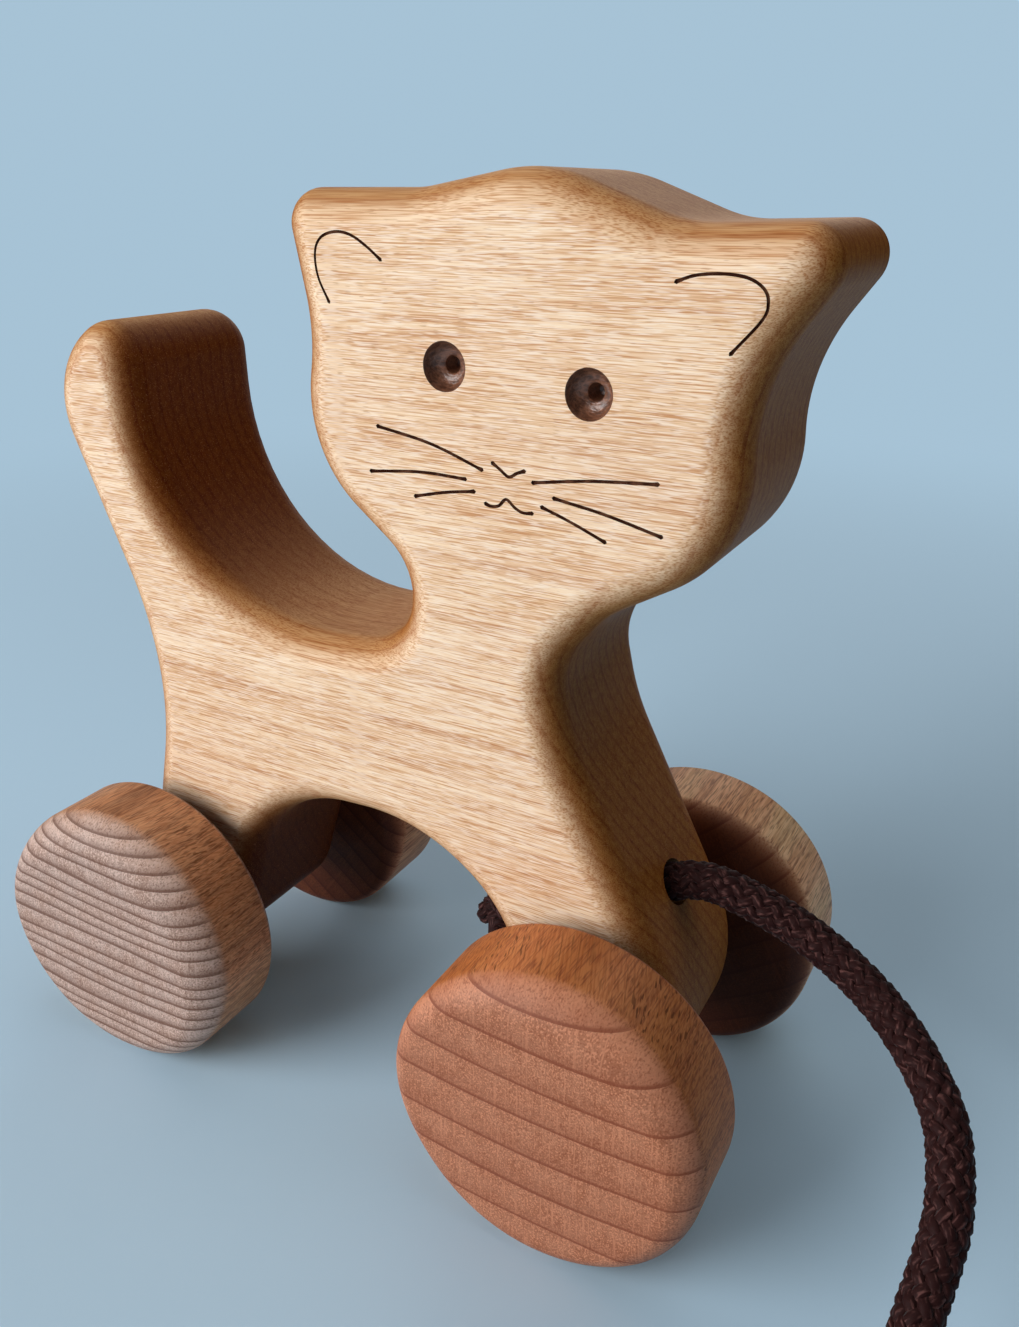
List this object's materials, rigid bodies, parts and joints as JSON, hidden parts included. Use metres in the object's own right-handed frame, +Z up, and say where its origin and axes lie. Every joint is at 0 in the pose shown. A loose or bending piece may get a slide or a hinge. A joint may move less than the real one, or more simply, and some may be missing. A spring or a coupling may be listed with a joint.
{
  "type": "wooden pull toy",
  "caption": "Pull-along cat sawn from a thick board with rounded edges, on wheels glued to dowel axles that turn in its legs, with a braided cord knotted through the chest.",
  "frame": {"origin": "on the floor, midway between the two axles and in the middle of the board's thickness", "axes": "+X the way the toy is pulled, +Z up, and the drawn and drilled face on the -Y side"},
  "size_m": [0.1363, 0.1367, 0.1224],
  "materials": {
    "body_wood": "oiled, satin",
    "wheel_wood": "oiled, satin",
    "axle_wood": "bare",
    "cord": "braided cotton",
    "twine": "twisted twine"
  },
  "bodies": {
    "cat": {"cat_body": "body_wood", "stopper_knot": "cord", "pull_cord": "cord", "cord_coil": "cord", "coil_tie": "twine", "cord_end_knot": "cord"},
    "front_wheels": {"front_axle": "axle_wood", "front_left_wheel": "wheel_wood", "front_right_wheel": "wheel_wood"},
    "rear_wheels": {"rear_axle": "axle_wood", "rear_left_wheel": "wheel_wood", "rear_right_wheel": "wheel_wood"}
  },
  "joints": [
    {"name": "front_axle_turn", "type": "hinge", "parent": "cat", "child": "front_wheels", "pos_m": [0.035, 0, 0.02], "axis": [0, 1, 0], "continuous": true},
    {"name": "rear_axle_turn", "type": "hinge", "parent": "cat", "child": "rear_wheels", "pos_m": [-0.035, 0, 0.02], "axis": [0, 1, 0], "continuous": true}
  ]
}
